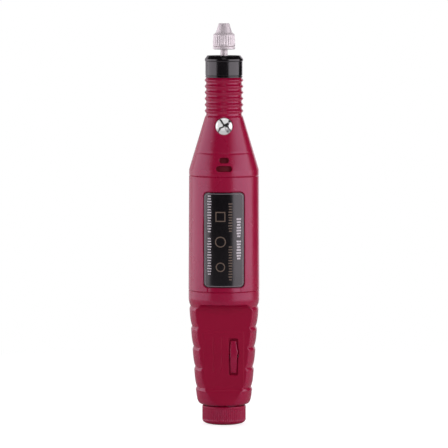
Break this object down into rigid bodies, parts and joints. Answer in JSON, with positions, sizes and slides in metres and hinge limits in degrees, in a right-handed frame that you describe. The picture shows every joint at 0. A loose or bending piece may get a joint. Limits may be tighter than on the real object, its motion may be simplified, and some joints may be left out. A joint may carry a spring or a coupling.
{
  "type": "electric nail drill",
  "caption": "Pen-shaped electric nail drill with a keyless chuck, spindle lock button, direction rocker and a speed dial round its power socket.",
  "frame": {"origin": "centre of the speed dial's end face, at the tail of the pen", "axes": "+Z along the pen towards the chuck, -Y out of the front with the button, vents, rating plate and rocker, +X to the right seen from the front"},
  "size_m": [0.03, 0.03, 0.17],
  "materials": {
    "crimson_plastic": "satin",
    "black_gloss": "gloss",
    "black_plastic": "matte",
    "white_plastic": "matte",
    "board_laminate": "satin",
    "wire_red": "satin",
    "wire_black": "satin",
    "felt": "matte",
    "button_chrome": "mirror",
    "satin_steel": "satin",
    "dark_steel": "satin",
    "magnet": "matte",
    "copper": "satin",
    "brass": "satin"
  },
  "bodies": {
    "housing": {"nose_cap": "black_gloss", "front_bearing": "satin_steel", "rear_bearing": "satin_steel", "bearing_retainer": "dark_steel", "dust_seal": "felt", "front_housing": "crimson_plastic", "middle_barrel": "crimson_plastic", "badge": "black_gloss", "grip_front_shell": "crimson_plastic", "grip_back_shell": "crimson_plastic", "grip_screw_upper": "dark_steel", "grip_screw_lower": "dark_steel", "motor_mount": "black_plastic", "motor_can": "satin_steel", "motor_magnet_left": "magnet", "motor_magnet_right": "magnet", "motor_front_bushing": "brass", "motor_end_cap": "black_plastic", "motor_brush_left": "copper", "motor_brush_right": "copper", "motor_screw_left": "dark_steel", "motor_screw_right": "dark_steel", "lock_spring": "dark_steel", "rocker_pin": "satin_steel", "switch_body": "satin_steel", "circuit_board": "board_laminate", "capacitor": "black_plastic", "drive_transistor": "black_plastic", "speed_pot_body": "white_plastic", "dc_socket": "black_plastic", "dc_socket_collar": "satin_steel", "motor_wire_red": "wire_red", "motor_wire_black": "wire_black", "socket_wire_red": "wire_red", "socket_wire_black": "wire_black"},
    "spindle": {"spindle_shaft": "satin_steel", "lock_disc": "dark_steel", "coupling": "brass", "chuck_body": "satin_steel", "motor_shaft": "satin_steel", "armature": "dark_steel", "armature_winding": "copper", "commutator": "copper"},
    "sleeve": {"chuck_sleeve": "satin_steel"},
    "jaw_1": {"chuck_jaw_1": "dark_steel"},
    "jaw_2": {"chuck_jaw_2": "dark_steel"},
    "jaw_3": {"chuck_jaw_3": "dark_steel"},
    "lock": {"lock_button": "button_chrome"},
    "rocker": {"direction_rocker": "crimson_plastic"},
    "lever": {"switch_lever": "black_plastic"},
    "dial": {"tail_knob": "crimson_plastic", "speed_pot_rotor": "brass"}
  },
  "joints": [
    {"name": "spindle_spin", "type": "hinge", "parent": "housing", "child": "spindle", "pos_m": [0, 0, 0.12], "axis": [0, 0, 1], "continuous": true},
    {"name": "sleeve_turn", "type": "hinge", "parent": "spindle", "child": "sleeve", "pos_m": [0, 0, 0.164], "axis": [0, 0, 1], "range_deg": [0, 1080]},
    {"name": "jaw_1_slide", "type": "slide", "parent": "spindle", "child": "jaw_1", "axis": [-0.3091, 0, 0.951], "range_m": [0, 0.00307]},
    {"name": "jaw_2_slide", "type": "slide", "parent": "spindle", "child": "jaw_2", "axis": [0.1545, -0.2677, 0.951], "range_m": [0, 0.00307]},
    {"name": "jaw_3_slide", "type": "slide", "parent": "spindle", "child": "jaw_3", "axis": [0.1545, 0.2677, 0.951], "range_m": [0, 0.00307]},
    {"name": "lock_press", "type": "slide", "parent": "housing", "child": "lock", "axis": [0, 1, 0], "range_m": [0, 0.0015], "stiffness_N_per_m": 400, "deforming": ["lock_spring"]},
    {"name": "rocker_tilt", "type": "hinge", "parent": "housing", "child": "rocker", "pos_m": [0.00403, -0.0059, 0.0292], "axis": [1, 0, 0], "range_deg": [-15, 15]},
    {"name": "lever_slide", "type": "slide", "parent": "housing", "child": "lever", "axis": [0, 0, 1], "range_m": [-0.00065, 0.00065]},
    {"name": "speed_dial", "type": "hinge", "parent": "housing", "child": "dial", "pos_m": [0, 0, 0.004], "axis": [0, 0, 1], "range_deg": [0, 270]}
  ],
  "couplings": [
    {"joint": "jaw_1_slide", "follows": "sleeve_turn", "m_per_rad": 0.000163},
    {"joint": "jaw_2_slide", "follows": "sleeve_turn", "m_per_rad": 0.000163},
    {"joint": "jaw_3_slide", "follows": "sleeve_turn", "m_per_rad": 0.000163},
    {"joint": "lever_slide", "follows": "rocker_tilt", "m_per_rad": 0.00245}
  ]
}
